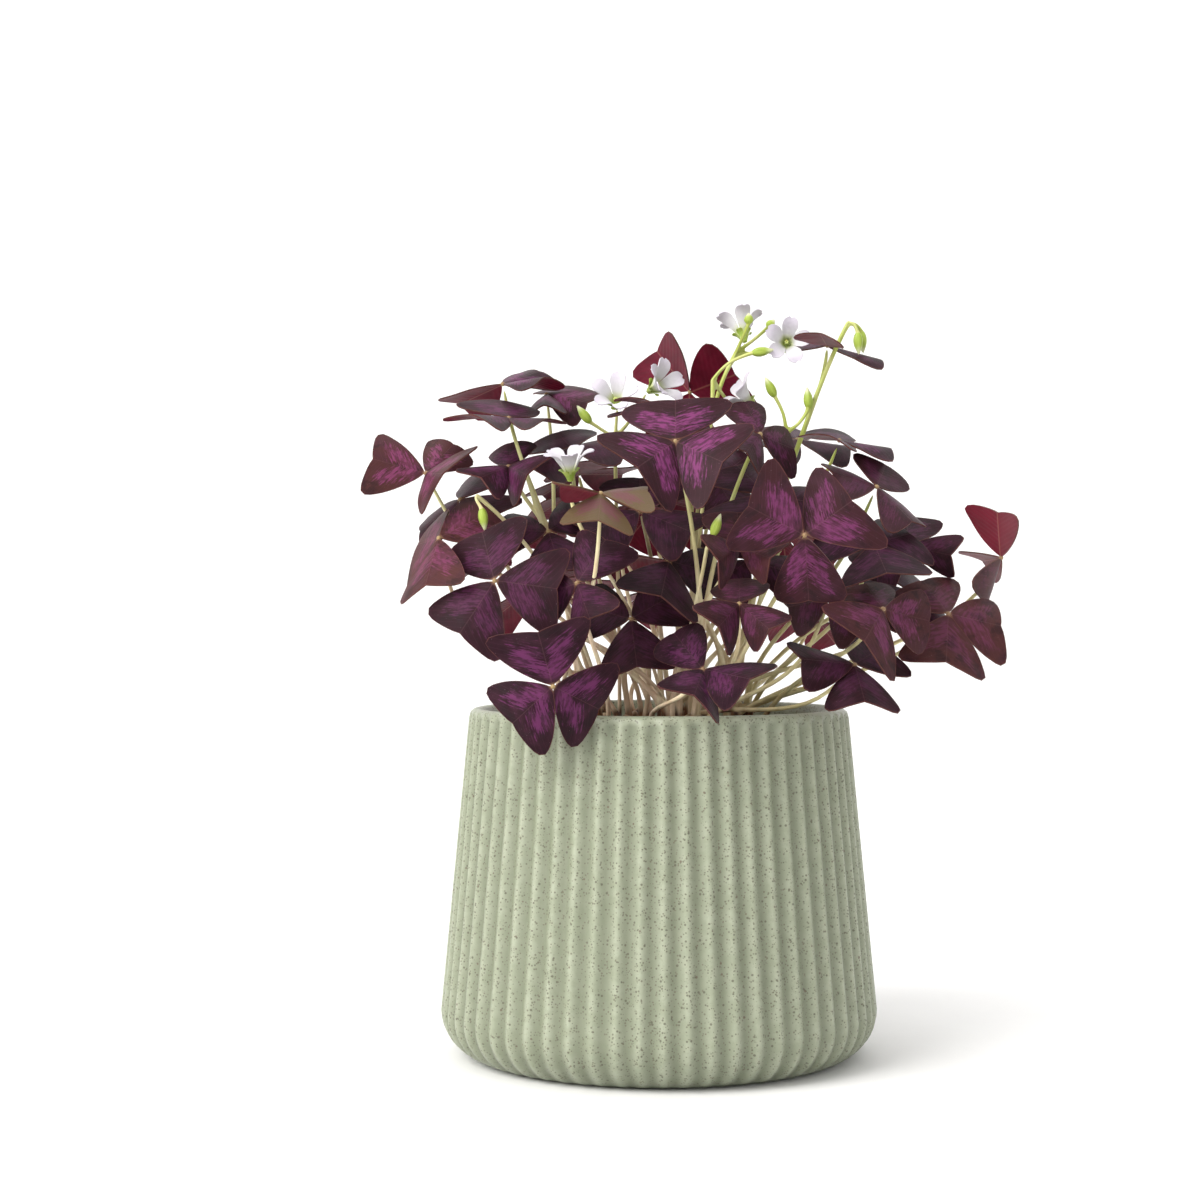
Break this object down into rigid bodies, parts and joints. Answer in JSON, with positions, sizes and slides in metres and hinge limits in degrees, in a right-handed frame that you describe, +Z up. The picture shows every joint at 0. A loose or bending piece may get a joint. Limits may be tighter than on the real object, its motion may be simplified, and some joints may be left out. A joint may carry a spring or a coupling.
{
  "type": "potted purple shamrock",
  "caption": "Purple-leaved shamrock plant with small white flowers on thin straw stalks, standing in soil in a round ribbed ceramic pot that widens to its rounded foot.",
  "frame": {"origin": "centre of the pot's flat underside, on the pot's turning axis", "axes": "+Z up along the pot's axis, -Y toward the front of the plant as pictured, +X to its right"},
  "size_m": [0.2661, 0.2112, 0.3102],
  "materials": {
    "bloom_high_1": "matte",
    "bloom_high_2": "matte",
    "bloom_left_4": "matte",
    "bloom_left_5": "matte",
    "bloom_low_left_6": "matte",
    "bloom_middle_3": "matte",
    "leaf_back_01": "satin",
    "leaf_back_02": "satin",
    "leaf_back_03": "satin",
    "leaf_back_04": "satin",
    "leaf_back_05": "satin",
    "leaf_back_06": "satin",
    "leaf_back_07": "satin",
    "leaf_back_08": "satin",
    "leaf_back_09": "satin",
    "leaf_back_10": "satin",
    "leaf_back_11": "satin",
    "leaf_back_12": "satin",
    "leaf_back_raised": "satin",
    "leaf_centre_shade": "satin",
    "leaf_front_centre": "satin",
    "leaf_front_left": "satin",
    "leaf_front_pale": "satin",
    "leaf_front_right": "satin",
    "leaf_front_shade": "satin",
    "leaf_inner_right": "satin",
    "leaf_left_back": "satin",
    "leaf_left_low": "satin",
    "leaf_left_middle": "satin",
    "leaf_left_outer": "satin",
    "leaf_left_roof": "satin",
    "leaf_left_top": "satin",
    "leaf_low_centre": "satin",
    "leaf_low_right_shade": "satin",
    "leaf_middle_centre": "satin",
    "leaf_over_rim_centre": "satin",
    "leaf_over_rim_left": "satin",
    "leaf_right_brown": "satin",
    "leaf_right_crimson": "satin",
    "leaf_right_low": "satin",
    "leaf_right_outer": "satin",
    "leaf_right_roof": "satin",
    "leaf_right_shade": "satin",
    "leaf_right_upper": "satin",
    "leaf_shade_core": "satin",
    "leaf_shade_inner": "satin",
    "leaf_shade_left": "satin",
    "leaf_shade_low": "satin",
    "leaf_shade_middle": "satin",
    "leaf_shade_outer_left": "satin",
    "leaf_shade_outer_right": "satin",
    "leaf_shade_right": "satin",
    "leaf_shade_upper_left": "satin",
    "leaf_shade_upper_right": "satin",
    "leaf_top_right": "satin",
    "leaf_upper_centre": "satin",
    "leaf_upper_shade": "satin",
    "pot": "satin",
    "soil": "matte",
    "stalks": "satin"
  },
  "bodies": {
    "root": {"bloom_high_1": "bloom_high_1", "bloom_high_2": "bloom_high_2", "bloom_left_4": "bloom_left_4", "bloom_left_5": "bloom_left_5", "bloom_low_left_6": "bloom_low_left_6", "bloom_middle_3": "bloom_middle_3", "leaf_back_01": "leaf_back_01", "leaf_back_02": "leaf_back_02", "leaf_back_03": "leaf_back_03", "leaf_back_04": "leaf_back_04", "leaf_back_05": "leaf_back_05", "leaf_back_06": "leaf_back_06", "leaf_back_07": "leaf_back_07", "leaf_back_08": "leaf_back_08", "leaf_back_09": "leaf_back_09", "leaf_back_10": "leaf_back_10", "leaf_back_11": "leaf_back_11", "leaf_back_12": "leaf_back_12", "leaf_back_raised": "leaf_back_raised", "leaf_centre_shade": "leaf_centre_shade", "leaf_front_centre": "leaf_front_centre", "leaf_front_left": "leaf_front_left", "leaf_front_pale": "leaf_front_pale", "leaf_front_right": "leaf_front_right", "leaf_front_shade": "leaf_front_shade", "leaf_inner_right": "leaf_inner_right", "leaf_left_back": "leaf_left_back", "leaf_left_low": "leaf_left_low", "leaf_left_middle": "leaf_left_middle", "leaf_left_outer": "leaf_left_outer", "leaf_left_roof": "leaf_left_roof", "leaf_left_top": "leaf_left_top", "leaf_low_centre": "leaf_low_centre", "leaf_low_right_shade": "leaf_low_right_shade", "leaf_middle_centre": "leaf_middle_centre", "leaf_over_rim_centre": "leaf_over_rim_centre", "leaf_over_rim_left": "leaf_over_rim_left", "leaf_right_brown": "leaf_right_brown", "leaf_right_crimson": "leaf_right_crimson", "leaf_right_low": "leaf_right_low", "leaf_right_outer": "leaf_right_outer", "leaf_right_roof": "leaf_right_roof", "leaf_right_shade": "leaf_right_shade", "leaf_right_upper": "leaf_right_upper", "leaf_shade_core": "leaf_shade_core", "leaf_shade_inner": "leaf_shade_inner", "leaf_shade_left": "leaf_shade_left", "leaf_shade_low": "leaf_shade_low", "leaf_shade_middle": "leaf_shade_middle", "leaf_shade_outer_left": "leaf_shade_outer_left", "leaf_shade_outer_right": "leaf_shade_outer_right", "leaf_shade_right": "leaf_shade_right", "leaf_shade_upper_left": "leaf_shade_upper_left", "leaf_shade_upper_right": "leaf_shade_upper_right", "leaf_top_right": "leaf_top_right", "leaf_upper_centre": "leaf_upper_centre", "leaf_upper_shade": "leaf_upper_shade", "pot": "pot", "soil": "soil", "stalks": "stalks"}
  },
  "joints": []
}
